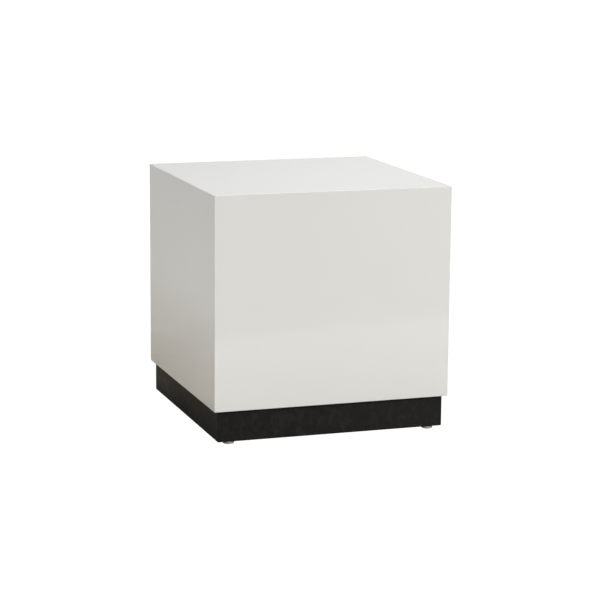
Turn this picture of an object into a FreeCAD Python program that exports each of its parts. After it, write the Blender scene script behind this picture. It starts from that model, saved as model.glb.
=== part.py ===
import FreeCAD, Part
import os

# Display plinth: a mitred and lacquered board box on a black base frame that is set back under it.
# Millimetres. +Z is up, the front faces -Y, and the origin is on the floor, under the middle.

# ---- overall sizes
plinth_width = 450.0            # X, over the box
plinth_depth = 450.0            # Y, over the box
body_height = 450.0             # box and base together, without the glides
base_height = 58.0              # rails, from the glides to the underside of the box
base_setback = 8.0              # base rails behind the faces of the box, all round

# ---- box boards and their joints
panel_thickness = 19.0
bottom_thickness = 19.0
bottom_fit = 0.1                # bottom panel to each side panel
panel_edge_radius = 1.0         # eased outer edges, under the lacquer
biscuit_length = 56.0
biscuit_width = 23.0
biscuit_thickness = 3.9
biscuit_end_flat = 5.0
slot_width = 4.0
slot_depth = 12.3               # in each of the two boards
slot_cutter_radius = 50.0
mitre_slot_from_inside = 5.0    # middle of a mitre's slots to the inner face of the board
biscuit_end_distance = 85.0     # middle of the last biscuit to the end of the joint
batten_leg = 30.0               # glue blocks that stand in the inner corners of the box
batten_corner_cut = 3.0         # bevel that keeps a batten clear of the glue in the corner
batten_top_gap = 0.5            # battens are cut short, so that they can't hold the top up

# ---- base frame
rail_thickness = 25.0
rail_edge_radius = 2.0
dowel_diameter = 7.9
dowel_hole_diameter = 8.0
dowel_pitch = 24.0              # between the two dowels of a corner
dowel_in_face = 14.0            # into the front or back rail
dowel_in_end = 26.0             # into the end of a side rail
dowel_end_room = 1.0            # at each end of the hole
dowel_chamfer = 0.8
block_side = 36.0               # blocks in the inner corners of the base
block_above_rail_foot = 20.0    # the blocks stop short of the rails' lower edge

# ---- screws, glides and nails
screw_radius = 2.0
screw_head_radius = 4.0
screw_head_rim = 0.4            # straight edge of the countersunk head
screw_point = 5.0
screw_fit = 0.05                # all round, in the hole
cross_length = 4.4
cross_width = 0.9
cross_depth = 1.6
screw_bite_in_rail = 14.0
screw_bite_in_bottom = 12.0
rail_screw_inset = 12.0         # screws that hold a block to a rail, from the other rail
rail_screw_spacing = 18.0       # the second one of a block, above the first
carcass_screw_inset = 24.0      # screws that hold the box down, from both rails
glide_diameter = 20.0
glide_height = 5.0
glide_chamfer = 1.0
glide_from_end = 24.0           # middle of a glide to the end of its rail
glide_recess_radius = 4.2
glide_recess_depth = 2.2
nail_radius = 1.25
nail_head_radius = 3.25
nail_head_thickness = 1.2
nail_length = 20.0              # under the head
nail_point = 3.0
nail_fit = 0.05                 # all round, in glide and rail

# ---- levels and half widths that follow from them
box_half_x = plinth_width / 2
box_half_y = plinth_depth / 2
inner_half_x = box_half_x - panel_thickness
inner_half_y = box_half_y - panel_thickness
base_half_x = box_half_x - base_setback
base_half_y = box_half_y - base_setback
frame_half_x = base_half_x - rail_thickness
frame_half_y = base_half_y - rail_thickness
rail_foot = glide_height
box_foot = rail_foot + base_height
box_top = rail_foot + body_height
top_underside = box_top - panel_thickness
bottom_face = box_foot + bottom_thickness
block_foot = rail_foot + block_above_rail_foot
block_height = box_foot - block_foot
rail_middle = rail_foot + base_height / 2

OUT = 1.0                       # how far a cutting tool starts outside the wood


def vector(x, y, z):
    return FreeCAD.Vector(x, y, z)


X_AXIS = vector(1, 0, 0)
Y_AXIS = vector(0, 1, 0)
Z_AXIS = vector(0, 0, 1)
CORNERS = {"front_left": (-1, -1), "front_right": (1, -1), "back_left": (-1, 1), "back_right": (1, 1)}


def box(low, high):
    """Box between two opposite corners."""
    size = high - low
    return Part.makeBox(size.x, size.y, size.z, low)


def turned(profile):
    """Solid of revolution about Z, from the (radius, z) corners of its half section."""
    points = [vector(radius, 0, z) for radius, z in profile]
    face = Part.Face(Part.makePolygon(points + points[:1]))
    return face.revolve(vector(0, 0, 0), Z_AXIS, 360)


def placed(shape, position, direction):
    """Copy of a shape made at the origin along +Z, moved to position and turned to direction."""
    copy = shape.copy()
    copy.Placement = FreeCAD.Placement(position, FreeCAD.Rotation(Z_AXIS, direction))
    return copy


def prism(corners, foot, top):
    """Upright prism over a polygon of (x, y) corners."""
    points = [vector(x, y, foot) for x, y in corners]
    return Part.Face(Part.makePolygon(points + points[:1])).extrude(vector(0, 0, top - foot))


def solid_between(outer, inner):
    """Flat-sided solid between two four-cornered faces, with their corners in the same order."""
    loops = [outer, inner]
    for i in range(len(outer)):
        loops.append([outer[i], outer[i - 1], inner[i - 1], inner[i]])
    faces = [Part.Face(Part.makePolygon(loop + loop[:1])) for loop in loops]
    shell = Part.makeShell(faces)
    shell.sewShape()
    solid = Part.makeSolid(shell)
    return solid if solid.Volume > 0 else solid.reversed()


# ---------------------------------------------------------------- boards of the box

def eased_box():
    """Outside of the box with its outer edges eased."""
    block = box(vector(-box_half_x, -box_half_y, box_foot), vector(box_half_x, box_half_y, box_top))
    return block.makeFillet(panel_edge_radius, block.Edges)


def face_corners(half_x, half_y, z):
    """Corners of a level rectangle, the left front one first, against the clock from above."""
    return [vector(x * half_x, y * half_y, z) for x, y in ((-1, -1), (1, -1), (1, 1), (-1, 1))]


def box_panels():
    """The top and the four sides, mitred where they meet and square at the underside."""
    outer_top = face_corners(box_half_x, box_half_y, box_top)
    inner_top = face_corners(inner_half_x, inner_half_y, top_underside)
    outer_foot = face_corners(box_half_x, box_half_y, box_foot)
    inner_foot = face_corners(inner_half_x, inner_half_y, box_foot)
    outside = eased_box()
    panels = {"top_panel": outside.common(solid_between(outer_top, inner_top))}
    for i, side in enumerate(("front", "right", "back", "left")):
        j = (i + 1) % 4
        outer = [outer_foot[i], outer_foot[j], outer_top[j], outer_top[i]]
        inner = [inner_foot[i], inner_foot[j], inner_top[j], inner_top[i]]
        panels[side + "_panel"] = outside.common(solid_between(outer, inner))
    return panels


def bottom_board():
    """The bottom panel, which stands between the four sides."""
    half_x = inner_half_x - bottom_fit
    half_y = inner_half_y - bottom_fit
    return box(vector(-half_x, -half_y, box_foot), vector(half_x, half_y, bottom_face))


# ---------------------------------------------------------------- biscuit joints

def biscuit(centre, along, across):
    """Lens-shaped beech biscuit with flat ends, whose middle is on the joint."""
    half_length = along * (biscuit_length / 2)
    half_flat = across * (biscuit_end_flat / 2)
    crest = across * (biscuit_width / 2)
    start = centre + along.cross(across) * (-biscuit_thickness / 2)
    upper = Part.Arc(start - half_length + half_flat, start + crest, start + half_length + half_flat)
    lower = Part.Arc(start + half_length - half_flat, start - crest, start - half_length - half_flat)
    right = Part.LineSegment(start + half_length + half_flat, start + half_length - half_flat)
    left = Part.LineSegment(start - half_length - half_flat, start - half_length + half_flat)
    outline = Part.Wire([edge.toShape() for edge in (upper, right, lower, left)])
    return Part.Face(outline).extrude(along.cross(across) * biscuit_thickness)


def slot(centre, along, into):
    """Cutter's disc, reaching its depth into one board from a point on the joint face."""
    axis = along.cross(into)
    disc_centre = centre - into * (slot_cutter_radius - slot_depth) - axis * (slot_width / 2)
    return Part.makeCylinder(slot_cutter_radius, slot_width, disc_centre, axis)


def three_along(half_length):
    """Places of a joint's three biscuits, from its middle."""
    reach = half_length - biscuit_end_distance
    return (-reach, 0.0, reach)


def join(panels, first, second, centre, along, into_first):
    """Cuts the two slots of one joint and returns the biscuit that fills them."""
    panels[first] = panels[first].cut(slot(centre, along, into_first))
    panels[second] = panels[second].cut(slot(centre, along, -into_first))
    return biscuit(centre, along, into_first)


def upright_joints(panels):
    """Biscuits in the four upright mitres."""
    biscuits = []
    inset = panel_thickness - mitre_slot_from_inside
    middle = (box_foot + box_top) / 2
    for corner, (sx, sy) in CORNERS.items():
        end, side = corner.split("_")
        into_end = vector(-sx, sy, 0).normalize()
        for step in three_along((box_top - box_foot) / 2):
            centre = vector(sx * (box_half_x - inset), sy * (box_half_y - inset), middle + step)
            biscuits.append(join(panels, end + "_panel", side + "_panel", centre, Z_AXIS, into_end))
    return biscuits


def side_joints(panels):
    """Biscuits in the top mitres, and between the bottom panel and the sides."""
    top_biscuits, bottom_biscuits = [], []
    inset = panel_thickness - mitre_slot_from_inside
    bottom_level = box_foot + bottom_thickness / 2
    sides = (
        ("front_panel", -Y_AXIS, X_AXIS, box_half_y, box_half_x),
        ("back_panel", Y_AXIS, X_AXIS, box_half_y, box_half_x),
        ("left_panel", -X_AXIS, Y_AXIS, box_half_x, box_half_y),
        ("right_panel", X_AXIS, Y_AXIS, box_half_x, box_half_y),
    )
    for name, outward, along, half_across, half_along in sides:
        into_side = (outward - Z_AXIS).normalize()
        for step in three_along(half_along):
            middle = outward * (half_across - inset) + along * step + Z_AXIS * (box_top - inset)
            top_biscuits.append(join(panels, name, "top_panel", middle, along, into_side))
            middle = outward * (half_across - panel_thickness) + along * step + Z_AXIS * bottom_level
            bottom_biscuits.append(join(panels, name, "bottom_panel", middle, along, outward))
    return top_biscuits, bottom_biscuits


def corner_batten(sx, sy):
    """Three-cornered softwood batten that stands in an inner corner of the box."""
    outline = ((batten_corner_cut, 0), (batten_leg, 0), (0, batten_leg), (0, batten_corner_cut))
    corners = [(sx * (inner_half_x - x), sy * (inner_half_y - y)) for x, y in outline]
    return prism(corners, bottom_face, top_underside - batten_top_gap)


# ---------------------------------------------------------------- base frame

def base_rails():
    """Front and back rails over the whole width, with the side rails butted between them."""
    low = vector(-base_half_x, -base_half_y, rail_foot)
    high = vector(base_half_x, base_half_y, box_foot)
    outside = box(low, high)
    eased = [edge for edge in outside.Edges if edge.CenterOfMass.z < box_foot - rail_edge_radius]
    outside = outside.makeFillet(rail_edge_radius, eased)
    cuts = {
        "front": (vector(-base_half_x, -base_half_y, rail_foot), vector(base_half_x, -frame_half_y, box_foot)),
        "back": (vector(-base_half_x, frame_half_y, rail_foot), vector(base_half_x, base_half_y, box_foot)),
        "left": (vector(-base_half_x, -frame_half_y, rail_foot), vector(-frame_half_x, frame_half_y, box_foot)),
        "right": (vector(frame_half_x, -frame_half_y, rail_foot), vector(base_half_x, frame_half_y, box_foot)),
    }
    return {f"base_{side}_rail": outside.common(box(*ends)) for side, ends in cuts.items()}


def dowel():
    """Beech dowel along +Z, with its joint at z = 0."""
    radius = dowel_diameter / 2
    thin = radius - dowel_chamfer
    foot, tip = -dowel_in_face, dowel_in_end
    return turned([(0, foot), (thin, foot), (radius, foot + dowel_chamfer),
                   (radius, tip - dowel_chamfer), (thin, tip), (0, tip)])


def dowel_hole():
    """Holes that a dowel stands in, end to end."""
    length = dowel_in_face + dowel_in_end + 2 * dowel_end_room
    foot = vector(0, 0, -dowel_in_face - dowel_end_room)
    return Part.makeCylinder(dowel_hole_diameter / 2, length, foot)


def dowel_joints(rails):
    """Two dowels in each corner of the base, through the butt joint into the side rail."""
    dowels = []
    hole = dowel_hole()
    for corner, (sx, sy) in CORNERS.items():
        end, side = corner.split("_")
        for level in (rail_middle - dowel_pitch / 2, rail_middle + dowel_pitch / 2):
            joint = vector(sx * (base_half_x - rail_thickness / 2), sy * frame_half_y, level)
            into_side = Y_AXIS * -sy
            for name in (f"base_{end}_rail", f"base_{side}_rail"):
                rails[name] = rails[name].cut(placed(hole, joint, into_side))
            dowels.append(placed(dowel(), joint, into_side))
    return dowels


def corner_block(sx, sy):
    """Softwood block in an inner corner of the base, up against the underside of the box."""
    xs = sorted((sx * frame_half_x, sx * (frame_half_x - block_side)))
    ys = sorted((sy * frame_half_y, sy * (frame_half_y - block_side)))
    return box(vector(xs[0], ys[0], block_foot), vector(xs[1], ys[1], box_foot))


# ---------------------------------------------------------------- screws

def screw(length):
    """Countersunk cross-head screw along +Z, with the top of its head at z = 0."""
    neck = screw_head_rim + screw_head_radius - screw_radius
    body = turned([(0, 0), (screw_head_radius, 0), (screw_head_radius, screw_head_rim), (screw_radius, neck),
                   (screw_radius, length - screw_point), (0, length)])
    for across_x, across_y in ((cross_length, cross_width), (cross_width, cross_length)):
        low = vector(-across_x / 2, -across_y / 2, -OUT)
        body = body.cut(box(low, vector(across_x / 2, across_y / 2, cross_depth)))
    return body


def screw_hole(length):
    """Countersunk hole that the screw stands in."""
    head = screw_head_radius + screw_fit
    shank = screw_radius + screw_fit
    neck = screw_head_rim + screw_fit + head - shank
    return turned([(0, -OUT), (head, -OUT), (head, screw_head_rim + screw_fit), (shank, neck),
                   (shank, length - screw_point + screw_fit), (0, length + screw_fit)])


def drive(parts, names, length, position, direction):
    """Bores the named pieces for one screw and returns the screw."""
    hole = placed(screw_hole(length), position, direction)
    for name in names:
        parts[name] = parts[name].cut(hole)
    return placed(screw(length), position, direction)


def drive_corner_screws(parts):
    """In each corner, two screws hold the block to its rails and one holds the box down."""
    rail_screws, carcass_screws = [], []
    rail_length = block_side + screw_bite_in_rail
    carcass_length = block_height + screw_bite_in_bottom
    for corner, (sx, sy) in CORNERS.items():
        end, side = corner.split("_")
        block = "base_corner_block_" + corner
        head_x, head_y = sx * (frame_half_x - block_side), sy * (frame_half_y - block_side)
        line_x, line_y = sx * (frame_half_x - rail_screw_inset), sy * (frame_half_y - rail_screw_inset)
        position = vector(head_x, line_y, rail_middle)
        rail_screws.append(drive(parts, (block, f"base_{side}_rail"), rail_length, position, X_AXIS * sx))
        position = vector(line_x, head_y, rail_middle + rail_screw_spacing)
        rail_screws.append(drive(parts, (block, f"base_{end}_rail"), rail_length, position, Y_AXIS * sy))
        position = vector(sx * (frame_half_x - carcass_screw_inset), sy * (frame_half_y - carcass_screw_inset),
                          block_foot)
        carcass_screws.append(drive(parts, (block, "bottom_panel"), carcass_length, position, Z_AXIS))
    return rail_screws, carcass_screws


# ---------------------------------------------------------------- glides and their nails

def glide():
    """Plastic glide standing on z = 0, with a recess for the head of its nail."""
    radius = glide_diameter / 2
    bore = nail_radius + nail_fit
    return turned([(glide_recess_radius, 0), (radius - glide_chamfer, 0), (radius, glide_chamfer),
                   (radius, glide_height), (bore, glide_height), (bore, glide_recess_depth),
                   (glide_recess_radius, glide_recess_depth)])


def nail():
    """Flat-headed nail along +Z, with its head against the roof of the glide's recess."""
    head_foot = glide_recess_depth - nail_head_thickness
    tip = glide_recess_depth + nail_length
    return turned([(0, head_foot), (nail_head_radius, head_foot), (nail_head_radius, glide_recess_depth),
                   (nail_radius, glide_recess_depth), (nail_radius, tip - nail_point), (0, tip)])


def nail_hole():
    """Hole that the nail makes in a rail."""
    radius = nail_radius + nail_fit
    tip = glide_recess_depth + nail_length
    return turned([(0, rail_foot - OUT), (radius, rail_foot - OUT), (radius, tip - nail_point + nail_fit),
                   (0, tip + nail_fit)])


def fit_glides(parts):
    """One glide near each end of the front and back rails, in the middle of the rail's thickness."""
    nails = []
    for corner, (sx, sy) in CORNERS.items():
        end = corner.split("_")[0]
        place = vector(sx * (base_half_x - glide_from_end), sy * (base_half_y - rail_thickness / 2), 0)
        rail = f"base_{end}_rail"
        parts[rail] = parts[rail].cut(placed(nail_hole(), place, Z_AXIS))
        parts["glide_" + corner] = placed(glide(), place, Z_AXIS)
        nails.append(placed(nail(), place, Z_AXIS))
    return nails


# ---------------------------------------------------------------- assembly

def plinth():
    """Every piece by name. A group of like pieces is one compound of separate solids."""
    parts = box_panels()
    parts["bottom_panel"] = bottom_board()
    groups = {"upright_mitre_biscuits": upright_joints(parts)}
    groups["top_mitre_biscuits"], groups["bottom_panel_biscuits"] = side_joints(parts)
    parts.update(base_rails())
    groups["base_corner_dowels"] = dowel_joints(parts)
    for corner, (sx, sy) in CORNERS.items():
        parts["corner_batten_" + corner] = corner_batten(sx, sy)
        parts["base_corner_block_" + corner] = corner_block(sx, sy)
    groups["rail_screws"], groups["carcass_screws"] = drive_corner_screws(parts)
    groups["glide_nails"] = fit_glides(parts)
    parts.update({name: Part.makeCompound(solids) for name, solids in groups.items()})
    return parts


os.makedirs("parts", exist_ok=True)
for name, shape in sorted(plinth().items()):
    print(f"{name}: {len(shape.Solids)} solid(s), {shape.Volume / 1000:.2f} cm3, valid {shape.isValid()}")
    shape.exportStep(f"parts/{name}.step")
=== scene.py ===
# %% [markdown]
# # A display plinth in white lacquer on a black base
#
# The plinth is a cube that something is shown on. Five boards are mitred into a box and sprayed with
# warm white gloss lacquer, so that no joint shows. A bottom board closes the box, and under it a black
# frame of four rails is set back, which makes the box look as if it floats. Four small plastic glides
# keep the base off the floor. Everything that holds these pieces together is modelled too: biscuits,
# glue battens, dowels, corner blocks, screws and nails.
#
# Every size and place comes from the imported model, which is loaded first and never moved.

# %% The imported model
import math

import bmesh
import bpy
from mathutils import Matrix, Vector


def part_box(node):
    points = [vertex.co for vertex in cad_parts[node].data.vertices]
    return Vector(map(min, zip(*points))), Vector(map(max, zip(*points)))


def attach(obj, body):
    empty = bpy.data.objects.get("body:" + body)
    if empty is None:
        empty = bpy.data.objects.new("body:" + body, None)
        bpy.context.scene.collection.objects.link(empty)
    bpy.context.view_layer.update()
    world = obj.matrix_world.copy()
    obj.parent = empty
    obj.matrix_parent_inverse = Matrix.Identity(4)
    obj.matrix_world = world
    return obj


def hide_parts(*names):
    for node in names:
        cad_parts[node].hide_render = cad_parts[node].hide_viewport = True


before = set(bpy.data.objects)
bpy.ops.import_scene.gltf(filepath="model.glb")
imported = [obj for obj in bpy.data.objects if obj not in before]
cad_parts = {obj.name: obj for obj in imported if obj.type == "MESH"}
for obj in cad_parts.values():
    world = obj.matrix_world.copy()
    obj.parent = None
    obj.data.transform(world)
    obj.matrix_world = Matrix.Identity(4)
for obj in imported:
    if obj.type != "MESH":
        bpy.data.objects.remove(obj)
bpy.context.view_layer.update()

MM = 0.001
SAME_POINT = 1e-6
SAME_CUT = 1e-7
X, Y, Z = Vector((1, 0, 0)), Vector((0, 1, 0)), Vector((0, 0, 1))
CORNERS = {"front_left": (-1, -1), "front_right": (1, -1), "back_left": (-1, 1), "back_right": (1, 1)}

# %% [markdown]
# ## Small helpers, as a hand would use the mouse
#
# An operator works on whatever is selected. These helpers make sure that it is the one piece that we
# mean, pick faces and edges by where they are, and put a finished object's place into its mesh.

# %% Selecting and finishing
def only(piece):
    """Makes one piece the selected, active one, in object mode."""
    if bpy.context.object and bpy.context.object.mode != "OBJECT":
        bpy.ops.object.mode_set(mode="OBJECT")
    bpy.ops.object.select_all(action="DESELECT")
    piece.select_set(True)
    bpy.context.view_layer.objects.active = piece


def edit(piece):
    """Opens a piece for editing, with all of it selected."""
    only(piece)
    bpy.ops.object.mode_set(mode="EDIT")
    bpy.ops.mesh.select_mode(type="FACE")
    bpy.ops.mesh.select_all(action="SELECT")


def pick(piece, kind, wanted):
    """Selects the points, edges or faces of an open piece that pass a test."""
    bpy.ops.mesh.select_mode(type=kind)
    bpy.ops.mesh.select_all(action="DESELECT")
    mesh = bmesh.from_edit_mesh(piece.data)
    for element in {"VERT": mesh.verts, "EDGE": mesh.edges, "FACE": mesh.faces}[kind]:
        if wanted(element):
            element.select_set(True)
    bmesh.update_edit_mesh(piece.data)


def close_edit():
    """Turns every face outwards and leaves edit mode."""
    bpy.ops.mesh.select_all(action="SELECT")
    bpy.ops.mesh.normals_make_consistent(inside=False)
    bpy.ops.object.mode_set(mode="OBJECT")


def named(name):
    """Names the object just added, and puts its place, turn and size into its mesh."""
    piece = bpy.context.object
    piece.name = piece.data.name = name
    bpy.ops.object.transform_apply(location=True, rotation=True, scale=True)
    return piece


def middle_of(edge):
    return (edge.verts[0].co + edge.verts[1].co) / 2


# %% [markdown]
# ## Starting shapes, cuts and copies
#
# Joinery is mostly blocks that are sawn, drilled and eased, so four moves make nearly every piece:
# a block between two corners, a saw cut along a plane (bisect, with the cut closed), a bore (a boolean
# with a cutter's shape) and an eased edge (bevel). Round pieces are turned: a disc is extruded ring by
# ring, and each new ring gets its own radius.

# %% Blocks, saw cuts, eased edges and bores
def block(name, low, high):
    """A block between two opposite corners."""
    bpy.ops.object.select_all(action="DESELECT")
    bpy.ops.mesh.primitive_cube_add(size=1, location=(low + high) / 2)
    bpy.context.object.scale = high - low
    return named(name)


def saw(piece, point, direction):
    """Saws a piece along a plane, drops what lies beyond it and closes the cut."""
    edit(piece)
    bpy.ops.mesh.bisect(plane_co=point, plane_no=direction, use_fill=True, clear_outer=True,
                        threshold=SAME_CUT)
    close_edit()


def ease(piece, radius, segments, wanted=lambda edge: True):
    """Rounds the edges of a piece that pass a test."""
    edit(piece)
    pick(piece, "EDGE", wanted)
    bpy.ops.mesh.bevel(offset=radius, segments=segments, profile=0.5, affect="EDGES")
    close_edit()


def copy_of(piece, name, placement=Matrix.Identity(4)):
    """A copy with a mesh of its own, moved to its place."""
    copy = piece.copy()
    copy.data = piece.data.copy()
    copy.name = copy.data.name = name
    copy.data.transform(placement)
    bpy.context.scene.collection.objects.link(copy)
    return copy


def join(pieces, name):
    """Joins separate pieces into one object."""
    only(pieces[0])
    for piece in pieces:
        piece.select_set(True)
    bpy.ops.object.join()
    return named(name)


def combine(piece, other, operation):
    """Adds another shape to a piece, or takes it away. The other shape stays."""
    only(piece)
    change = piece.modifiers.new("change", "BOOLEAN")
    change.operation, change.solver, change.object = operation, "EXACT", other
    bpy.ops.object.modifier_apply(modifier=change.name)


def bore(piece, cutter):
    """Takes the shape of a cutter out of a piece."""
    combine(piece, cutter, "DIFFERENCE")


def throw_away(*pieces):
    for piece in pieces:
        bpy.data.objects.remove(piece)


# %% Turned shapes
def turned(name, profile, segments=48):
    """Turns a solid about Z through (radius, height) rings. A last radius of 0 makes a point."""
    radius, height = profile[0]
    bpy.ops.object.select_all(action="DESELECT")
    bpy.ops.mesh.primitive_circle_add(vertices=segments, radius=radius, fill_type="NGON",
                                      location=(0, 0, height))
    piece = named(name)
    edit(piece)
    for next_radius, next_height in profile[1:]:
        bpy.ops.mesh.extrude_region_move(TRANSFORM_OT_translate={"value": (0, 0, next_height - height)})
        if next_radius:
            ratio = next_radius / radius
            bpy.ops.transform.resize(value=(ratio, ratio, 1), center_override=(0, 0, next_height))
        else:
            bpy.ops.mesh.merge(type="CENTER")
        radius, height = next_radius, next_height
    close_edit()
    return piece


# %% [markdown]
# ## Where the repeated pieces are
#
# Like pieces, such as the twelve biscuits of the upright mitres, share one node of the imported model.
# A copy of that node is merged and separated, each solid is measured, and the copies are thrown away.
# That gives every biscuit, dowel and screw its true place without a list of numbers.

# %% Measuring the solids of a node
def solids_of(node):
    """(lowest corner, highest corner) of each separate solid in a node."""
    edit(copy_of(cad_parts[node], "measured"))
    bpy.ops.mesh.remove_doubles(threshold=SAME_POINT)
    bpy.ops.mesh.separate(type="LOOSE")
    bpy.ops.object.mode_set(mode="OBJECT")
    boxes = []
    for solid in list(bpy.context.selected_objects):
        places = [vertex.co for vertex in solid.data.vertices]
        low = Vector([min(place[axis] for place in places) for axis in range(3)])
        high = Vector([max(place[axis] for place in places) for axis in range(3)])
        boxes.append((low, high))
        throw_away(solid)
    return sorted(boxes, key=lambda box: [round(value, 4) for value in box[0]])


def placed(centre, along, across):
    """Turns a shape made along X, Y and Z to lie along, across and square to both, at a centre."""
    square = along.cross(across)
    return Matrix.Translation(centre) @ Matrix((along, across, square)).transposed().to_4x4()


def sign(value):
    return 1 if value > 0 else -1


GROUPS = ("upright_mitre_biscuits", "top_mitre_biscuits", "bottom_panel_biscuits",
          "base_corner_dowels", "rail_screws", "carcass_screws", "glide_nails")
solids = {node: solids_of(node) for node in GROUPS}
print("solids:", {node: len(boxes) for node, boxes in solids.items()})

# %% [markdown]
# ## Writing a finish
#
# A finish is a recipe of shader nodes. Its patterns read Object coordinates, which are metres in the
# plinth's own frame, so a scale of 400 means detail of about two and a half millimetres.

# %% Node helpers
def recipe(name):
    """A new finish, opened at its node tree, with only a Principled shader in it."""
    finish = bpy.data.materials.new(name)
    finish.use_nodes = True
    return finish, finish.node_tree


def fill(tree, node, inputs):
    """Fills a node's inputs. One that is given a socket is linked, and any other is set."""
    for key, value in inputs.items():
        if isinstance(value, bpy.types.NodeSocket):
            tree.links.new(value, node.inputs[key])
        else:
            node.inputs[key].default_value = value


def add(tree, kind, inputs, **settings):
    """Adds a node with its settings and inputs."""
    node = tree.nodes.new("ShaderNode" + kind)
    for key, value in settings.items():
        setattr(node, key, value)
    fill(tree, node, inputs)
    return node


def place_on(tree, stretch=(1, 1, 1), shift=(0, 0, 0), source="Object"):
    """Pattern coordinates in metres, stretched and shifted."""
    where = add(tree, "TexCoord", {}).outputs[source]
    return add(tree, "Mapping", {"Vector": where, "Scale": stretch, "Location": shift}).outputs["Vector"]


def noise(tree, where, scale, detail=2.0, distortion=0.0):
    inputs = {"Vector": where, "Scale": scale, "Detail": detail, "Distortion": distortion}
    return add(tree, "TexNoise", inputs).outputs["Fac"]


def between(tree, factor, low, high, start=0.3, end=0.7):
    """Spreads a pattern between two numbers."""
    inputs = {"Value": factor, "From Min": start, "From Max": end, "To Min": low, "To Max": high}
    return add(tree, "MapRange", inputs).outputs["Result"]


def blend(tree, factor, first, second):
    """Mixes two colours by a pattern."""
    mix = add(tree, "Mix", {}, data_type="RGBA")
    tree.links.new(factor, mix.inputs["Factor"])
    for key, colour in (("A", first), ("B", second)):
        socket = [item for item in mix.inputs if item.name == key and item.type == "RGBA"][0]
        if isinstance(colour, bpy.types.NodeSocket):
            tree.links.new(colour, socket)
        else:
            socket.default_value = (*colour, 1)
    return [item for item in mix.outputs if item.type == "RGBA"][0]


def raised(tree, height, distance, under=None):
    """A bump: the pattern stands up by distance in metres, on top of another bump."""
    inputs = {"Height": height, "Distance": distance, "Strength": 1.0}
    if under:
        inputs["Normal"] = under
    return add(tree, "Bump", inputs).outputs["Normal"]


def coat_of(tree, inputs):
    """Fills the Principled shader."""
    fill(tree, tree.nodes["Principled BSDF"], inputs)


# %% [markdown]
# ## Finish: warm white gloss lacquer
#
# Sprayed polyurethane is a hard clear gloss over a slightly warm white. Two things give it away as
# paint and not plastic: orange peel, a very low ripple a few millimetres across that makes reflections
# swim, and a thickness that isn't quite even, so that the white drifts by a hair. The white itself is
# the shader's base, and the gloss is its coat, so the two can have their own sharpness.

# %% White lacquer
def white_lacquer():
    finish, tree = recipe("warm_white_gloss_lacquer")
    where = place_on(tree)
    drift = noise(tree, where, 7, 3)
    body = blend(tree, drift, (0.792, 0.790, 0.760), (0.812, 0.810, 0.780))
    peel = raised(tree, noise(tree, where, 230, 2, 0.4), 0.000012)
    sag = raised(tree, noise(tree, place_on(tree, (1, 1, 2.6)), 34, 1), 0.00003, peel)
    coat_of(tree, {
        "Base Color": body,
        "Roughness": between(tree, drift, 0.30, 0.34, 0, 1),
        "Normal": sag,
        "Coat Normal": sag,
        "Coat Weight": 1.0,
        "Coat Roughness": 0.035,
        "Coat IOR": 1.5,
        "Specular IOR Level": 0.2,
    })
    return finish


# %% [markdown]
# ## Finish: satin black
#
# The base is a thinner, rolled or sprayed black with a low satin sheen. A fine mottle breaks up its
# highlight. Pale blotches, partly rubbed wear and partly painted sheen, gather round the back left
# corner. A painted sheen also lightens the black towards that corner, and a little towards the right.
# Fine specks of dust lie all over.

# %% Black lacquer
# The back left corner of the base, near its top: the painted sheen and the pale blotches gather round it.
back_rail_low, back_rail_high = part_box("base_back_rail")
sheen_corner = (back_rail_low.x, back_rail_high.y, back_rail_high.z - 8 * MM)


def black_lacquer():
    finish, tree = recipe("satin_black_lacquer")
    where = place_on(tree)
    mottle = noise(tree, where, 95, 5, 0.6)
    patchy = noise(tree, place_on(tree, (1, 1, 0.6), (0.3, 0, 0)), 60, 5, 1.2)
    blotches = between(tree, patchy, 0, 1, 0.50, 0.75)
    corner = add(tree, "VectorMath", {0: where, 1: sheen_corner}, operation="DISTANCE").outputs["Value"]
    # Pale blotches, partly rubbed wear and partly painted sheen, are strongest near the back left corner.
    wear_and_sheen_falloff = between(tree, corner, 1.0, 0.25, 0.04, 0.30)
    rubbed_and_sheen = add(tree, "Math", {0: blotches, 1: wear_and_sheen_falloff}, operation="MULTIPLY").outputs[0]
    # Painted sheen: the black is lighter towards the back left corner.
    painted_corner_sheen = between(tree, corner, 0.75, 0, 0.03, 0.20)
    across = add(tree, "SeparateXYZ", {"Vector": where}).outputs["X"]
    # Painted sheen: the black is a little lighter towards the right.
    painted_right_sheen = between(tree, across, 0, 0.16, -0.10, 0.20)
    specks = between(tree, noise(tree, where, 520, 2), 0, 1, 0.64, 0.74)
    body = blend(tree, mottle, (0.0102, 0.0100, 0.0092), (0.0212, 0.0206, 0.0191))
    body = blend(tree, painted_corner_sheen, body, (0.054, 0.0535, 0.0515))
    body = blend(tree, painted_right_sheen, body, (0.036, 0.0355, 0.034))
    body = blend(tree, between(tree, rubbed_and_sheen, 0, 0.6, 0, 1), body, (0.078, 0.077, 0.074))
    body = blend(tree, between(tree, specks, 0, 0.3, 0, 1), body, (0.034, 0.033, 0.032))
    stipple = raised(tree, noise(tree, where, 1300, 2), 0.000012)
    coat_of(tree, {
        "Base Color": body,
        "Roughness": between(tree, mottle, 0.40, 0.48),
        "Normal": raised(tree, mottle, 0.00008, stipple),
        "Specular IOR Level": 0.07,
    })
    return finish


# %% [markdown]
# ## Finishes: bare board and primed board
#
# Medium-density fibreboard is pressed wood fibre: an even tan with fine light and dark specks, and a
# dull, thirsty surface where it is sawn. The bottom board is primed, so it is pale and matt, with the
# short stipple of a foam roller and the brown of the board just showing in the thin places.

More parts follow.
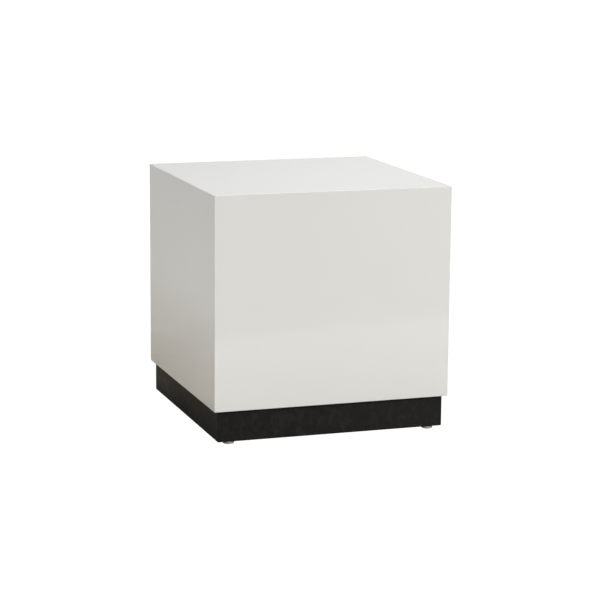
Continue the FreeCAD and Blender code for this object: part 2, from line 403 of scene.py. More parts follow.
# %% Fibreboard
def bare_board():
    finish, tree = recipe("bare_fibreboard")
    where = place_on(tree)
    fibres = noise(tree, place_on(tree, (1, 1, 3)), 900, 5, 1.5)
    patches = noise(tree, where, 25, 3)
    body = blend(tree, patches, (0.43, 0.30, 0.17), (0.50, 0.36, 0.21))
    body = blend(tree, between(tree, fibres, 0, 0.5, 0.35, 0.75), body, (0.27, 0.18, 0.10))
    coat_of(tree, {
        "Base Color": body,
        "Roughness": between(tree, fibres, 0.78, 0.95),
        "Normal": raised(tree, fibres, 0.00006),
        "Specular IOR Level": 0.3,
    })
    return finish


def primed_board():
    finish, tree = recipe("primed_fibreboard")
    where = place_on(tree)
    stipple = noise(tree, where, 700, 3)
    thin = between(tree, noise(tree, where, 18, 5, 0.8), 0, 0.35, 0.55, 0.75)
    body = blend(tree, stipple, (0.60, 0.585, 0.54), (0.68, 0.665, 0.62))
    body = blend(tree, thin, body, (0.47, 0.38, 0.27))
    coat_of(tree, {
        "Base Color": body,
        "Roughness": between(tree, stipple, 0.55, 0.75),
        "Normal": raised(tree, stipple, 0.00005),
    })
    return finish


# %% [markdown]
# ## Finishes: softwood and beech
#
# Battens and blocks are sawn pine. Growth rings are cylinders round a heart that lies well outside the
# piece, so one ring pattern gives straight grain on the sides and arcs on the end. Beech has no strong
# rings: it is pale and pinkish, with short dark flecks along the grain.

# %% Pine and beech
def pine():
    finish, tree = recipe("sawn_pine")
    heart = place_on(tree, (1, 1, 0.06), (0.085, 0.055, 0))
    rings = add(tree, "TexWave", {"Vector": heart, "Scale": 95, "Distortion": 2.2, "Detail": 2,
                                  "Detail Scale": 0.6}, wave_type="RINGS", rings_direction="Z",
                wave_profile="SAW").outputs["Fac"]
    fibres = noise(tree, place_on(tree, (1, 1, 0.05)), 1400, 4)
    body = blend(tree, rings, (0.66, 0.47, 0.27), (0.43, 0.25, 0.11))
    body = blend(tree, between(tree, fibres, 0, 0.4), body, (0.74, 0.58, 0.38))
    saw_marks = noise(tree, place_on(tree, (0.2, 0.2, 1)), 700, 2)
    coat_of(tree, {
        "Base Color": body,
        "Roughness": between(tree, rings, 0.62, 0.80, 0, 1),
        "Normal": raised(tree, fibres, 0.00004, raised(tree, saw_marks, 0.00008)),
        "Specular IOR Level": 0.35,
    })
    return finish


def beech(name, source, stretch, scale):
    finish, tree = recipe(name)
    where = place_on(tree, stretch, source=source)
    flecks = between(tree, noise(tree, where, scale, 2), 0, 1, 0.60, 0.70)
    tone = noise(tree, where, scale / 6, 3)
    body = blend(tree, tone, (0.60, 0.40, 0.25), (0.70, 0.50, 0.33))
    body = blend(tree, between(tree, flecks, 0, 0.6, 0, 1), body, (0.36, 0.21, 0.12))
    coat_of(tree, {
        "Base Color": body,
        "Roughness": between(tree, tone, 0.50, 0.66),
        "Normal": raised(tree, flecks, 0.00003),
        "Specular IOR Level": 0.35,
    })
    return finish


# %% [markdown]
# ## Finishes: zinc-plated steel and glide plastic
#
# Plated screws and nails are bright, but the plating is cloudy and a little yellow. The glides are
# moulded in natural plastic, milky and soft-edged, which light gets a little way into. Fine scuffs
# make their dullness vary a little all over.

# %% Steel and plastic
def plated_steel():
    finish, tree = recipe("zinc_plated_steel")
    where = place_on(tree)
    cloud = noise(tree, where, 380, 4, 0.5)
    coat_of(tree, {
        "Base Color": blend(tree, cloud, (0.66, 0.65, 0.60), (0.80, 0.79, 0.74)),
        "Metallic": 1.0,
        "Roughness": between(tree, cloud, 0.22, 0.42),
        "Normal": raised(tree, noise(tree, where, 2400, 2), 0.000006),
    })
    return finish


def glide_plastic():
    finish, tree = recipe("milky_glide_plastic")
    where = place_on(tree)
    flow = noise(tree, place_on(tree, (1, 1, 3)), 130, 4, 1.0)
    scuffs = noise(tree, place_on(tree, (1, 0.2, 1)), 1500, 3)
    coat_of(tree, {
        "Base Color": blend(tree, flow, (0.40, 0.375, 0.33), (0.50, 0.48, 0.43)),
        "Roughness": between(tree, scuffs, 0.34, 0.55),
        "Normal": raised(tree, scuffs, 0.00001),
        "Subsurface Weight": 0.25,
        "Subsurface Radius": (1.0, 0.9, 0.75),
        "Subsurface Scale": 0.002,
    })
    return finish


finishes = {
    "lacquer": white_lacquer(),
    "black": black_lacquer(),
    "board": bare_board(),
    "primed": primed_board(),
    "pine": pine(),
    "dowel": beech("beech_dowel_rod", "Object", (1, 0.12, 1), 2200),
    "biscuit": beech("pressed_beech", "UV", (1, 0.3, 1), 60),
    "steel": plated_steel(),
    "plastic": glide_plastic(),
}
print("finishes:", sorted(finish.name for finish in finishes.values()))

# %% [markdown]
# ## Handing a piece over
#
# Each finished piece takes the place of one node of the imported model. Its faces are smoothed across
# the gentle angles only, and weighted by area, so that an eased edge looks round and the board beside
# it stays dead flat.

# %% Smoothing and handing over
made = []


def finished(piece, node, slot, *coats):
    """Smooths a piece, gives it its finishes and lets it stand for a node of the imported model."""
    only(piece)
    bpy.ops.object.shade_smooth_by_angle(angle=math.radians(32))
    even = piece.modifiers.new("even", "WEIGHTED_NORMAL")
    even.keep_sharp = True
    bpy.ops.object.modifier_apply(modifier=even.name)
    indices = [face.material_index for face in piece.data.polygons]
    piece.data.materials.clear()
    for coat in coats:
        piece.data.materials.append(finishes[coat])
    for face, index in zip(piece.data.polygons, indices):
        face.material_index = min(index, len(coats) - 1)
    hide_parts(node)
    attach(piece, "root")
    made.append(piece)
    print(f"{piece.name}: {len(piece.data.polygons)} faces for {node}")


# %% [markdown]
# ## The box: one eased cube, sawn into mitred boards
#
# A mitred box could be five separate prisms. It is easier, and truer, to start with the outside of
# the finished box, ease all its edges at once, and then saw the boards out of it: the eased edge runs
# round each corner without a step, as it does on a box that was sanded after it was glued.

# %% The outside of the box
box_low = Vector((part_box("left_panel")[0].x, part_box("front_panel")[0].y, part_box("front_panel")[0].z))
box_high = Vector((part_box("right_panel")[1].x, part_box("back_panel")[1].y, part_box("top_panel")[1].z))
board_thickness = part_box("front_panel")[1].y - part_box("front_panel")[0].y
eased_radius = 1.0 * MM
broken_edge = 0.3 * MM
outside = block("outside", box_low, box_high)
ease(outside, eased_radius, 6)
print("board thickness", round(board_thickness / MM, 2), "mm")

# %% [markdown]
# A board is what is left of that cube after one cut along its inner face and one cut along each of
# its mitres. A mitre is the plane that halves the corner between two faces, so its direction is the
# difference of their outward directions.

# %% Sawing the five boards
SIDES = {"front": -Y, "back": Y, "left": -X, "right": X, "top": Z}


def outer_point(*directions):
    """A point on the outside of the box, at the faces that look in these directions."""
    point = (box_low + box_high) / 2
    for direction in directions:
        for axis in range(3):
            if direction[axis]:
                point[axis] = box_high[axis] if direction[axis] > 0 else box_low[axis]
    return point


def mitred_board(side):
    outward = SIDES[side]
    board = copy_of(outside, "board_" + side)
    saw(board, outer_point(outward) - outward * board_thickness, -outward)
    for neighbour in SIDES.values():
        if abs(neighbour.dot(outward)) < 0.5:
            saw(board, outer_point(outward, neighbour), (neighbour - outward).normalized())
    return board


boards = {side: mitred_board(side) for side in SIDES}
boards["bottom"] = block("board_bottom", *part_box("bottom_panel"))
ease(boards["bottom"], broken_edge, 2)
throw_away(outside)
print("boards:", sorted(boards))

# %% [markdown]
# ## Biscuit joints
#
# A biscuit is a thin lens of pressed beech that sits half in one board and half in the other. Each
# slot is a bite out of a board by a small round saw that stands 100 mm across, so the cutter here is
# that disc, sunk into the board from the joint.

# %% Where the biscuits lie
slot_radius = 50.0 * MM
slot_width = 4.0 * MM
slot_depth = 12.3 * MM
biscuit_width = 23.0 * MM
biscuit_flat = 5.0 * MM
biscuit_edge = 0.25 * MM


def side_towards(place):
    """The name and direction of the side of the box that a place is nearest to."""
    if abs(place.x) > abs(place.y):
        return ("right", X) if place.x > 0 else ("left", -X)
    return ("back", Y) if place.y > 0 else ("front", -Y)


def biscuit_joints():
    """(node, centre, along, across, board that across points into, other board) of every biscuit."""
    joints = []
    for low, high in solids["upright_mitre_biscuits"]:
        centre = (low + high) / 2
        end = "back" if centre.y > 0 else "front"
        side = "right" if centre.x > 0 else "left"
        across = Vector((-sign(centre.x), sign(centre.y), 0)).normalized()
        joints.append(("upright_mitre_biscuits", centre, Z, across, end, side))
    for node, other in (("top_mitre_biscuits", "top"), ("bottom_panel_biscuits", "bottom")):
        for low, high in solids[node]:
            centre = (low + high) / 2
            side, outward = side_towards(centre)
            along = Y if abs(outward.x) > 0.5 else X
            across = (outward - Z).normalized() if other == "top" else outward
            joints.append((node, centre, along, across, side, other))
    return joints


joints = biscuit_joints()
print("biscuits:", len(joints))

# %% Cutting the slots
bpy.ops.object.select_all(action="DESELECT")
bpy.ops.mesh.primitive_cylinder_add(vertices=128, radius=slot_radius, depth=slot_width)
slot_cutter = named("slot_cutter")
for board_name, board in boards.items():
    cutters = []
    for node, centre, along, across, first, second in joints:
        if board_name in (first, second):
            into = across if board_name == first else -across
            disc = centre - into * (slot_radius - slot_depth)
            cutters.append(copy_of(slot_cutter, "slot", placed(disc, along, into)))
    slots = join(cutters, "slots")
    bore(board, slots)
    throw_away(slots)
throw_away(slot_cutter)
print("slots cut; faces per board:", {name: len(board.data.polygons) for name, board in boards.items()})

# %% [markdown]
# The biscuit is cut as it is at the factory: the overlap of two discs gives its two arcs, and its
# sharp ends are sawn off. Its rim is eased, and it carries a flat map of its face, which the grain of
# the pressed beech follows whichever way the biscuit is turned.

# %% The biscuit
def model_biscuit(length, thickness):
    """One biscuit, along X, with its width along Y."""
    half_length, crest, half_flat = length / 2, biscuit_width / 2, biscuit_flat / 2
    rise = crest - half_flat
    arc_radius = (half_length ** 2 + rise ** 2) / (2 * rise)
    bpy.ops.object.select_all(action="DESELECT")
    bpy.ops.mesh.primitive_circle_add(vertices=256, radius=arc_radius, fill_type="NGON",
                                      location=(0, crest - arc_radius, -thickness / 2))
    biscuit = named("biscuit")
    edit(biscuit)
    for point, beyond in ((Vector(), -Y), (X * half_length, X), (-X * half_length, -X)):
        bpy.ops.mesh.select_all(action="SELECT")
        bpy.ops.mesh.bisect(plane_co=point, plane_no=beyond, clear_outer=True, threshold=SAME_CUT)
    bpy.ops.mesh.select_all(action="SELECT")
    bpy.ops.mesh.duplicate()
    bpy.ops.transform.resize(value=(1, -1, 1), center_override=(0, 0, 0))
    bpy.ops.mesh.select_all(action="SELECT")
    bpy.ops.mesh.remove_doubles(threshold=SAME_POINT)
    bpy.ops.mesh.normals_make_consistent(inside=False)
    pick(biscuit, "EDGE", lambda edge: abs(edge.verts[0].co.y) + abs(edge.verts[1].co.y) < SAME_POINT)
    bpy.ops.mesh.dissolve_edges(use_verts=True)
    bpy.ops.mesh.select_all(action="SELECT")
    bpy.ops.mesh.extrude_region_move(TRANSFORM_OT_translate={"value": (0, 0, thickness)})
    close_edit()
    ease(biscuit, biscuit_edge, 2, lambda edge: abs(edge.verts[0].co.z - edge.verts[1].co.z) < SAME_POINT)
    faces = biscuit.data.uv_layers.new(name="face")
    for loop, corner in zip(biscuit.data.loops, faces.data):
        place = biscuit.data.vertices[loop.vertex_index].co
        corner.uv = (place.x / length, place.y / length)
    return biscuit


low, high = solids["top_mitre_biscuits"][0]
biscuit_length = max(high - low)
flat_low, flat_high = solids["bottom_panel_biscuits"][0]
one_biscuit = model_biscuit(biscuit_length, flat_high.z - flat_low.z)
print("biscuit:", round(biscuit_length / MM, 1), "mm long")

# %% Every biscuit in its slots
for node in ("upright_mitre_biscuits", "top_mitre_biscuits", "bottom_panel_biscuits"):
    copies = [copy_of(one_biscuit, "biscuit", placed(centre, along, across))
              for name, centre, along, across, first, second in joints if name == node]
    finished(join(copies, "beech_" + node), node, "beech", "biscuit")
throw_away(one_biscuit)

# %% [markdown]
# ## The base: a frame of four rails
#
# The base is made the same way as the box: one block the size of the whole frame gets its eased
# corners and feet, and the rails are sawn out of it. Front and back rails run right across, and the
# side rails are butted between them, which is how such a frame is usually dowelled.

# %% Sawing the rails
base_low = Vector(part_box("base_front_rail")[0])
base_high = Vector(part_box("base_back_rail")[1])
rail_radius = 2.0 * MM
whole_base = block("whole_base", base_low, base_high)
ease(whole_base, rail_radius, 6, lambda edge: middle_of(edge).z < base_high.z - rail_radius)
rails = {}
for side in ("front", "back", "left", "right"):
    rail_low, rail_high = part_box(f"base_{side}_rail")
    rail = copy_of(whole_base, "rail_" + side)
    for axis in (X, Y):
        if rail_high.dot(axis) < base_high.dot(axis) - MM:
            saw(rail, rail_high, axis)
        if rail_low.dot(axis) > base_low.dot(axis) + MM:
            saw(rail, rail_low, -axis)
    rails[side] = rail
throw_away(whole_base)
print("rails:", {side: [round(d / MM) for d in rail.dimensions] for side, rail in rails.items()})

# %% [markdown]
# ## Fastenings: dowels, screws and nails
#
# Each of these is turned once and copied. Its bore is turned with the same steps and a little room,
# and all the bores of the base are joined into one cutter, so that a rail or a block is drilled for
# everything that passes through it in one go.

# %% Sizes and places of the fastenings
fastening_room = 0.05 * MM
dowel_end_room = 1.0 * MM


def axis_of(low, high):
    """(axis, length, radius) of a long thin solid."""
    size = high - low
    longest = max(range(3), key=lambda axis: size[axis])
    return (X, Y, Z)[longest], size[longest], min(size) / 2


def side_of(axis):
    """Some direction that is square to an axis."""
    return Z if abs(axis.z) < 0.5 else X


def standing(foot, axis):
    """Turns a shape made along +Z to stand on a foot point, along an axis."""
    side = side_of(axis)
    return placed(foot, side, axis.cross(side))


def screw_places():
    """(node, top of the head, direction, length, head radius) of every screw."""
    places = []
    for node in ("rail_screws", "carcass_screws"):
        for low, high in solids[node]:
            axis, length, radius = axis_of(low, high)
            centre = (low + high) / 2
            way = axis if node == "carcass_screws" else axis * sign(centre.dot(axis))
            places.append((node, centre - way * length / 2, way, length, radius))
    return places


screws = screw_places()
print("screws:", len(screws), "of", sorted({round(screw[3] / MM, 1) for screw in screws}), "mm")

# %% [markdown]
# The dowels are bought as fluted rod: shallow grooves let air and glue out of a blind hole. Every
# other line of the turned rod is drawn in a little to make the flutes.

# %% Dowels
def model_dowel(length, radius):
    """A fluted dowel along +Z, with chamfered ends."""
    chamfer, flutes, flute_depth = 0.8 * MM, 30, 0.22 * MM
    half = length / 2
    rod = turned("dowel", [(radius - chamfer, -half), (radius, chamfer - half), (radius, half - chamfer),
                           (radius - chamfer, half)], 2 * flutes)
    edit(rod)
    step = math.pi / flutes

    def is_flute(edge):
        first, second = (vertex.co for vertex in edge.verts)
        upright = abs(first.z - second.z) > length / 2
        turn = math.atan2(first.y, first.x) / step
        return upright and round(turn) % 2 == 0

    pick(rod, "EDGE", is_flute)
    ratio = 1 - flute_depth / radius
    bpy.ops.transform.resize(value=(ratio, ratio, 1), center_override=(0, 0, 0))
    close_edit()
    return rod


dowel_axis, dowel_length, dowel_radius = axis_of(*solids["base_corner_dowels"][0])
one_dowel = model_dowel(dowel_length, dowel_radius)
dowel_bore = turned("dowel_bore", [(dowel_radius + fastening_room, -dowel_length / 2 - dowel_end_room),
                                   (dowel_radius + fastening_room, dowel_length / 2 + dowel_end_room)])
dowels, bores = [], []
for low, high in solids["base_corner_dowels"]:
    place = standing((low + high) / 2, dowel_axis)
    dowels.append(copy_of(one_dowel, "dowel", place))
    bores.append(copy_of(dowel_bore, "bore", place))
finished(join(dowels, "fluted_corner_dowels"), "base_corner_dowels", "beech", "dowel")
throw_away(one_dowel, dowel_bore)

# %% [markdown]
# A countersunk screw has a flat head with a rim, a cone that draws it into the wood, a plain neck, a
# thread and a point. The thread is a ridge that climbs one pitch for each turn: a Screw modifier winds
# its section round the core, and a boolean makes ridge, core and head one closed solid. The cross in
# the head is a second boolean.

# %% Screws
screw_rim = 0.4 * MM
screw_shank = 2.0 * MM
screw_core = 1.3 * MM
screw_neck = 1.6 * MM
thread_pitch = 1.8 * MM
plain_length = 17.0 * MM
point_length = 5.0 * MM
head_edge = 0.15 * MM
cross_length, cross_width, cross_depth = 4.4 * MM, 0.9 * MM, 1.6 * MM
turn_steps = 32
thread_steps = 24
sliver = 0.01 * MM


def model_thread(start, end):
    """The threaded part of a screw, wound between two heights."""
    inner, root_width, crest_width = screw_core * 0.6, thread_pitch * 0.70, thread_pitch * 0.04
    bpy.ops.object.select_all(action="DESELECT")
    bpy.ops.mesh.primitive_plane_add(size=1, location=((inner + screw_shank) / 2, 0, start),
                                     rotation=(math.pi / 2, 0, 0))
    bpy.context.object.scale = (screw_shank - inner, root_width, 1)
    thread = named("thread")
    edit(thread)
    pick(thread, "EDGE", lambda edge: middle_of(edge).x > screw_shank - sliver)
    bpy.ops.transform.resize(value=(1, 1, crest_width / root_width),
                             center_override=(screw_shank, 0, start))
    bpy.ops.mesh.select_all(action="SELECT")
    bpy.ops.mesh.delete(type="ONLY_FACE")
    bpy.ops.object.mode_set(mode="OBJECT")
    wind = thread.modifiers.new("wind", "SCREW")
    wind.screw_offset = thread_pitch
    wind.iterations = int((end - start) / thread_pitch)
    wind.steps = wind.render_steps = thread_steps
    wind.use_merge_vertices = False
    bpy.ops.object.modifier_apply(modifier=wind.name)
    edit(thread)
    bpy.ops.mesh.remove_doubles(threshold=SAME_CUT)
    bpy.ops.mesh.fill_holes(sides=4)
    close_edit()
    return thread


def model_screw(length, head_radius):
    """A cross-head screw along +Z, with the top of its head at z = 0."""
    cone_end = screw_rim + head_radius - screw_neck
    body = turned("screw", [(head_radius - head_edge, 0), (head_radius, head_edge),
                            (head_radius, screw_rim), (screw_neck, cone_end),
                            (screw_neck, plain_length), (screw_core, plain_length + MM),
                            (screw_core, length - point_length), (0, length)], turn_steps)
    thread = model_thread(plain_length + 0.5 * MM, length - point_length)
    combine(body, thread, "UNION")
    throw_away(thread)
    for turn in (Matrix.Identity(4), Matrix.Rotation(math.pi / 2, 4, "Z")):
        slot = block("cross", Vector((-cross_length, -cross_width, -2 * cross_depth)) / 2,
                     Vector((cross_length, cross_width, 2 * cross_depth)) / 2)
        slot.data.transform(turn)
        bore(body, slot)
        throw_away(slot)
    edit(body)
    bpy.ops.mesh.remove_doubles(threshold=sliver)
    bpy.ops.mesh.dissolve_degenerate(threshold=sliver)
    pick(body, "VERT", lambda vert: len(vert.link_edges) == 2)
    bpy.ops.mesh.dissolve_verts()
    close_edit()
    return body


def model_screw_bore(length, head_radius):
    """The countersunk bore that a screw stands in."""
    head, shank = head_radius + fastening_room, screw_shank + fastening_room
    rim = screw_rim + fastening_room
    return turned("screw_bore", [(head, -MM), (head, rim), (shank, rim + head - shank),
                                 (shank, length - point_length + fastening_room),
                                 (0, length + fastening_room)], turn_steps)


placed_screws = {"rail_screws": [], "carcass_screws": []}
patterns = {}
for node, head, way, length, head_radius in screws:
    key = round(length / MM, 1)
    if key not in patterns:
        patterns[key] = (model_screw(length, head_radius), model_screw_bore(length, head_radius))
    pattern, bore_pattern = patterns[key]
    placed_screws[node].append(copy_of(pattern, "screw", standing(head, way)))
    bores.append(copy_of(bore_pattern, "bore", standing(head, way)))
for node, copies in placed_screws.items():
    finished(join(copies, "cross_head_" + node), node, "zinc_plated_steel", "steel")
throw_away(*[piece for pair in patterns.values() for piece in pair])

# %% [markdown]
# The glides' nails are plain wire with a flat head and a cut point. Their bores go into the front and
# back rails.

# %% Nails
nail_radius, nail_head_radius, nail_edge = 1.25 * MM, 3.25 * MM, 0.2 * MM
nail_head_thickness, nail_point = 1.2 * MM, 3.0 * MM


def model_nail(foot, head_top, tip):
    """A flat-headed nail along +Z."""
    rim = nail_head_radius - nail_edge
    return turned("nail", [(rim, foot), (nail_head_radius, foot + nail_edge),
                           (nail_head_radius, head_top - nail_edge), (rim, head_top),
                           (nail_radius, head_top), (nail_radius, tip - nail_point), (0, tip)], turn_steps)


def foot_of(low, high):
    """The place on the floor under the middle of a box."""
    return Vector(((low.x + high.x) / 2, (low.y + high.y) / 2, 0))


nail_foot, nail_tip = solids["glide_nails"][0][0].z, solids["glide_nails"][0][1].z
nail_head_top = nail_foot + nail_head_thickness
nail_way_radius = nail_radius + fastening_room
one_nail = model_nail(nail_foot, nail_head_top, nail_tip)
nail_bore = turned("nail_bore", [(nail_way_radius, nail_head_top),
                                 (nail_way_radius, nail_tip - nail_point + fastening_room),
                                 (0, nail_tip + fastening_room)], turn_steps)
nails = []
for low, high in solids["glide_nails"]:
    place = Matrix.Translation(foot_of(low, high))
    nails.append(copy_of(one_nail, "nail", place))
    bores.append(copy_of(nail_bore, "bore", place))
finished(join(nails, "flat_head_glide_nails"), "glide_nails", "zinc_plated_steel", "steel")
all_bores = join(bores, "all_bores")
throw_away(one_nail)
print("bores in the base:", len(bores))

# %% Drilling the rails and the bottom board, and handing the rails over
for side, rail in rails.items():
    bore(rail, all_bores)
    finished(rail, f"base_{side}_rail", "black_lacquer", "black")
bore(boards["bottom"], all_bores)

# %% [markdown]
# ## Finishing the boards
#
# Lacquer lies on what can be seen: the faces, the eased edges and the lower ends. Mitres, slots and
# the inside of the box are bare fibreboard. A face is on the outside if it looks out and lies within
# an eased edge of one of the outer planes.

# %% Lacquer outside, bare board inside
def is_outside(face):
    """True for a face that lies on the outside of the box."""
    for axis in range(3):
        for plane, way in ((box_low[axis], -1), (box_high[axis], 1)):
            if abs(face.center[axis] - plane) < eased_radius and face.normal[axis] * way > 0.1:
                return True
    return False


for side, board in boards.items():
    if side == "bottom":
        finished(board, "bottom_panel", "primed_board", "primed")
        continue
    board.data.materials.clear()
    for coat in ("lacquer", "board"):
        board.data.materials.append(finishes[coat])
    for face in board.data.polygons:
        face.material_index = 0 if is_outside(face) else 1
    finished(board, side + "_panel", "white_lacquer", "lacquer", "board")

# %% [markdown]
# ## Glue battens and corner blocks
#
# A batten is a square stick sawn along its diagonal, with its sharp back edge planed off so that it
# clears the glue in the corner. A block is a short square offcut that stands in a corner of the base
# and takes the screws. Both are rough inside work, with only their sharpest edges broken.

# %% Battens
batten_corner_cut, batten_edge, block_edge = 3.0 * MM, 0.4 * MM, 0.5 * MM
for corner, (sx, sy) in CORNERS.items():
    low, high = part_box("corner_batten_" + corner)
    batten = block("glue_batten_" + corner, low, high)
    back = Vector((high.x if sx > 0 else low.x, high.y if sy > 0 else low.y, low.z))
    outward = Vector((sx, sy, 0)).normalized()
    saw(batten, (low + high) / 2, -outward)
    saw(batten, back - outward * batten_corner_cut / math.sqrt(2), outward)
    ease(batten, batten_edge, 2)
    finished(batten, "corner_batten_" + corner, "softwood", "pine")

# %% Blocks
for corner in CORNERS:
    stub = block("screw_block_" + corner, *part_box("base_corner_block_" + corner))
    ease(stub, block_edge, 2)
    bore(stub, all_bores)
    finished(stub, "base_corner_block_" + corner, "softwood", "pine")

# %% [markdown]
# ## Glides
#
# A glide is a small moulded disc. Its foot has a broad rounded edge so that it slides, and a recess in
# the middle takes the nail's head well clear of the floor. It is turned once, drilled for the nail and
# copied to the four corners.

# %% The glide
def model_glide(low, high):
    """One glide about Z, standing on z = low.z."""
    radius, foot, top = (high.x - low.x) / 2, low.z, high.z
    chamfer, recess, depth = 1.0 * MM, 4.2 * MM, 2.2 * MM
    small = 0.15 * MM
    return turned("glide", [
        (recess - small, foot + depth), (recess, foot + depth - small), (recess, foot + small),
        (recess + small, foot), (radius - chamfer, foot), (radius - 0.62 * chamfer, foot + 0.08 * chamfer),
        (radius - 0.29 * chamfer, foot + 0.29 * chamfer), (radius - 0.08 * chamfer, foot + 0.62 * chamfer),
        (radius, foot + chamfer), (radius, top - 2 * small), (radius - 2 * small, top)], 96)


glide_low, glide_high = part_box("glide_front_left")
one_glide = model_glide(glide_low, glide_high)
nail_way = turned("nail_way", [(nail_way_radius, glide_low.z + MM),
                               (nail_way_radius, glide_high.z + MM)], turn_steps)
bore(one_glide, nail_way)
for corner in CORNERS:
    place = Matrix.Translation(foot_of(*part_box("glide_" + corner)))
    glide = copy_of(one_glide, "moulded_glide_" + corner, place)
    finished(glide, "glide_" + corner, "glide_plastic", "plastic")
throw_away(one_glide, nail_way, nail_bore, all_bores)

# %% [markdown]
# ## The studio
#
# The plinth stands on a white sweep that fills the view. The camera sees only this one. It is pure
# white and takes no shadow. What the lacquer mirrors is a second, real floor at the same height, which
# the lamps light and the plinth shades. To the left of the plinth a brown shadow is painted on it,
# darkest right beside the base, and it gives the left side its warm, darker foot. About a metre in front
# the floor turns dark, and the front of the box shows that as its own slow change of tone. A wall behind
# glows by itself, with its glow painted brighter to the right, and is for the top.

# %% The white sweep
WHITE = (1, 1, 1, 1)


def white_background():
    """A pure white surface that is clear from behind."""
    finish, tree = recipe("white_background")
    tree.nodes.remove(tree.nodes["Principled BSDF"])
    lit = add(tree, "Emission", {"Color": WHITE, "Strength": 1.05}).outputs[0]
    clear = add(tree, "BsdfTransparent", {}).outputs[0]
    back = add(tree, "NewGeometry", {}).outputs["Backfacing"]
    shown = add(tree, "MixShader", {"Fac": back}).outputs[0]
    mix = shown.node
    tree.links.new(lit, mix.inputs[1])
    tree.links.new(clear, mix.inputs[2])
    tree.links.new(shown, tree.nodes["Material Output"].inputs["Surface"])
    return finish


def seen_by(piece, camera, light):
    """Says whether the camera sees a stage piece, and whether light and reflections do."""
    piece.visible_camera = camera
    piece.visible_diffuse = piece.visible_glossy = piece.visible_transmission = piece.visible_shadow = light


sweep_radius, sweep_height, sweep_bend = 9.0, 6.0, 2.0
bpy.ops.object.select_all(action="DESELECT")
bpy.ops.mesh.primitive_cylinder_add(vertices=96, radius=sweep_radius, depth=sweep_height,
                                    location=(0, 0, sweep_height / 2 - 0.5 * MM))
sweep = named("white_sweep")
edit(sweep)
pick(sweep, "FACE", lambda face: face.normal.z > 0.9)
bpy.ops.mesh.delete(type="FACE")
pick(sweep, "EDGE", lambda edge: middle_of(edge).z < 0 and all(len(v.link_edges) > 2 for v in edge.verts))
bpy.ops.mesh.bevel(offset=sweep_bend, segments=12, affect="EDGES")
bpy.ops.mesh.select_all(action="SELECT")
bpy.ops.mesh.normals_make_consistent(inside=True)
bpy.ops.object.mode_set(mode="OBJECT")
sweep.data.materials.append(white_background())
seen_by(sweep, camera=True, light=False)

# %% The real floor under the plinth
dark_from, dark_turn = Vector((0.33, -1.135, 0)), math.radians(-9.9)
shadow_turn = math.radians(18.7)
streak_stretch = 0.12
paper, dark_floor = (0.80, 0.785, 0.75), (0.070, 0.069, 0.066)
# Colours of the painted shadow at its front end, and of a painted contact shadow right beside the base.
painted_shadow_front, painted_contact_shadow = (0.12, 0.095, 0.065), (0.10, 0.085, 0.065)


def axis_mix(tree, where, along_x, along_y, shift):
    """x times one number, plus y times another, plus a shift."""
    inputs = {0: where["X"], 1: along_x, 2: shift}
    first = add(tree, "Math", inputs, operation="MULTIPLY_ADD").outputs[0]
    return add(tree, "Math", {0: where["Y"], 1: along_y, 2: first}, operation="MULTIPLY_ADD").outputs[0]


def studio_floor():
    """Pale paper with a brown shadow painted on the left, darkest beside the base, and dark floor in front.
    """
    finish, tree = recipe("pale_studio_floor")
    plain = add(tree, "SeparateXYZ", {"Vector": place_on(tree)}).outputs
    # The frame of a brown shadow painted on the floor to the left of the plinth.
    shadow_place = add(tree, "SeparateXYZ", {"Vector": place_on(tree, (1, 0.37, 1), (0, -0.275, 0))}).outputs
    sideways = add(tree, "Math", {0: shadow_place["X"]}, operation="ABSOLUTE").outputs[0]
    lengthways = add(tree, "Math", {0: shadow_place["Y"]}, operation="ABSOLUTE").outputs[0]
    away = add(tree, "Math", {0: sideways, 1: lengthways}, operation="MAXIMUM").outputs[0]
    floor_streaks = noise(tree, place_on(tree, (0.25, 2.2, 1)), 9, 3)
    along_x, along_y = math.cos(shadow_turn), math.sin(shadow_turn)
    along = axis_mix(tree, plain, streak_stretch * along_x, streak_stretch * along_y, 0)
    across = axis_mix(tree, plain, -along_y, along_x, 0)
    ridges = add(tree, "CombineXYZ", {"X": along, "Y": across}).outputs[0]
    shadow_ripples = between(tree, noise(tree, ridges, 44, 2), 0, 1, 0.40, 0.56)
    reach = add(tree, "Math", {0: away, 1: between(tree, floor_streaks, -0.03, 0.03)}, operation="ADD").outputs[0]
    # The painted shadow: brown and dark, streaked so that its reflection ripples, and darker further back.
    painted_shadow_far = blend(tree, shadow_ripples, (0.12, 0.088, 0.052), (0.47, 0.358, 0.225))
    painted_shadow_near = blend(tree, shadow_ripples, (0.16, 0.122, 0.074), (0.63, 0.490, 0.315))
    painted_shadow = blend(tree, between(tree, plain["Y"], 0, 1, 0.30, 0.75), painted_shadow_near, painted_shadow_far)
    # The painted shadow is darker still towards the front, and right beside the side of the base as a
    # painted contact shadow.
    painted_shadow = blend(tree, between(tree, plain["Y"], 0, 1, -0.25, 0.15), painted_shadow_front, painted_shadow)
    painted_shadow = blend(tree, between(tree, sideways, 0, 1, 0.215, 0.285), painted_contact_shadow, painted_shadow)
    past_side = between(tree, reach, 0, 1, 0.22, 0.60)
    past_end = between(tree, across, 0, 0.62, 0.675, 0.845)
    clean = add(tree, "Math", {0: past_side, 1: past_end}, operation="MAXIMUM").outputs[0]
    floor_colour = blend(tree, clean, painted_shadow, paper)
    turn_x, turn_y = math.sin(dark_turn), -math.cos(dark_turn)
    beyond = axis_mix(tree, plain, turn_x, turn_y, -(dark_from.x * turn_x + dark_from.y * turn_y))
    floor_colour = blend(tree, between(tree, beyond, 0, 1, 0, 0.06), floor_colour, dark_floor)
    coat_of(tree, {"Base Color": floor_colour, "Roughness": between(tree, floor_streaks, 0.7, 0.9)})
    return finish


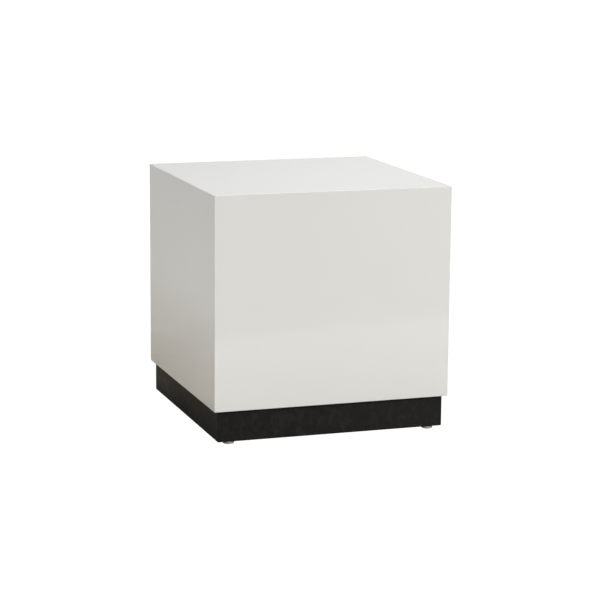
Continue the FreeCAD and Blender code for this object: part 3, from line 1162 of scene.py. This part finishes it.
floor = block("studio_floor", Vector((-7, -7, -MM)), Vector((7, 7, 0)))
floor.data.materials.append(studio_floor())
seen_by(floor, camera=False, light=True)

# %% A glowing wall behind, its glow painted brighter to the right
def glowing_wall():
    finish, tree = recipe("glowing_wall")
    tree.nodes.remove(tree.nodes["Principled BSDF"])
    where = add(tree, "SeparateXYZ", {"Vector": place_on(tree)}).outputs
    # The wall glows by itself; its glow is painted brighter to the right, as if a lamp there lit it.
    light = between(tree, where["X"], 0.65, 0.80, 1.4, 2.6)
    lit = add(tree, "Emission", {"Color": WHITE, "Strength": light}).outputs[0]
    tree.links.new(lit, tree.nodes["Material Output"].inputs["Surface"])
    return finish


wall = block("glowing_wall", Vector((-3, 6, 0.3)), Vector((5, 6.01, 4.6)))
wall.data.materials.append(glowing_wall())
seen_by(wall, camera=False, light=True)

# %% [markdown]
# ## Light
#
# Soft boxes stand all round, because the plinth is looked at from every side. The strongest is high on
# the right, so the right of the top is brightest and the left side is in the soft shade.

# %% Lamps
plinth_middle = Vector((0, 0, 0.25))


def softbox(name, place, width, height, power):
    """A white soft box at a place, turned towards the plinth. The camera doesn't see it."""
    lamp = bpy.data.lights.new(name, "AREA")
    lamp.shape, lamp.size, lamp.size_y, lamp.energy = "RECTANGLE", width, height, power
    stand = bpy.data.objects.new(name, lamp)
    stand.location = place
    stand.rotation_euler = (plinth_middle - Vector(place)).to_track_quat("-Z", "Y").to_euler()
    stand.visible_camera = False
    bpy.context.scene.collection.objects.link(stand)


softbox("key_front_right", (2.5, -3.2, 2.8), 1.8, 1.8, 94)
softbox("overhead", (0.5, 0.2, 3.2), 2.6, 2.6, 25)
softbox("left_fill", (-2.9, -0.6, 2.6), 2.0, 2.0, 31)
softbox("back_fill", (0.5, 4.4, 3.0), 3.0, 2.0, 40)
softbox("front_fill", (-0.6, -5.0, 2.6), 3.0, 2.0, 90)

world = bpy.data.worlds.new("studio_air")
world.use_nodes = True
world.node_tree.nodes["Background"].inputs["Color"].default_value = WHITE
world.node_tree.nodes["Background"].inputs["Strength"].default_value = 0.20
bpy.context.scene.world = world

# %% [markdown]
# ## Camera
#
# A long lens from the front left, about a metre up, keeps the upright edges nearly parallel. The
# camera is turned to the right, drops a little, and leans by half a degree.

# %% Camera
camera_place = Vector((-1.27574, -3.80871, 0.99891))
camera_turn, camera_drop, camera_lean = 0.32571, 0.19292, 0.0078
forward = Vector((math.sin(camera_turn) * math.cos(camera_drop),
                  math.cos(camera_turn) * math.cos(camera_drop),
                  -math.sin(camera_drop)))
level = Vector((math.cos(camera_turn), -math.sin(camera_turn), 0))
upward = level.cross(forward)
right = level * math.cos(camera_lean) + upward * math.sin(camera_lean)
up = upward * math.cos(camera_lean) - level * math.sin(camera_lean)
lens = bpy.data.cameras.new("camera")
lens.sensor_width, lens.lens = 36, 128.82
lens.clip_start, lens.clip_end = 0.05, 60
camera = bpy.data.objects.new("camera", lens)
camera.matrix_world = Matrix.Translation(camera_place) @ Matrix((right, up, -forward)).transposed().to_4x4()
bpy.context.scene.collection.objects.link(camera)
bpy.context.scene.camera = camera
bpy.context.scene.view_settings.view_transform = "Standard"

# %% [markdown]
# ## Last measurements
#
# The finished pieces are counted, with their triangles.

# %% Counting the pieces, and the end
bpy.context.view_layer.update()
triangles = sum(len(face.vertices) - 2 for piece in made for face in piece.data.polygons)
print("pieces:", len(made), "triangles:", triangles)
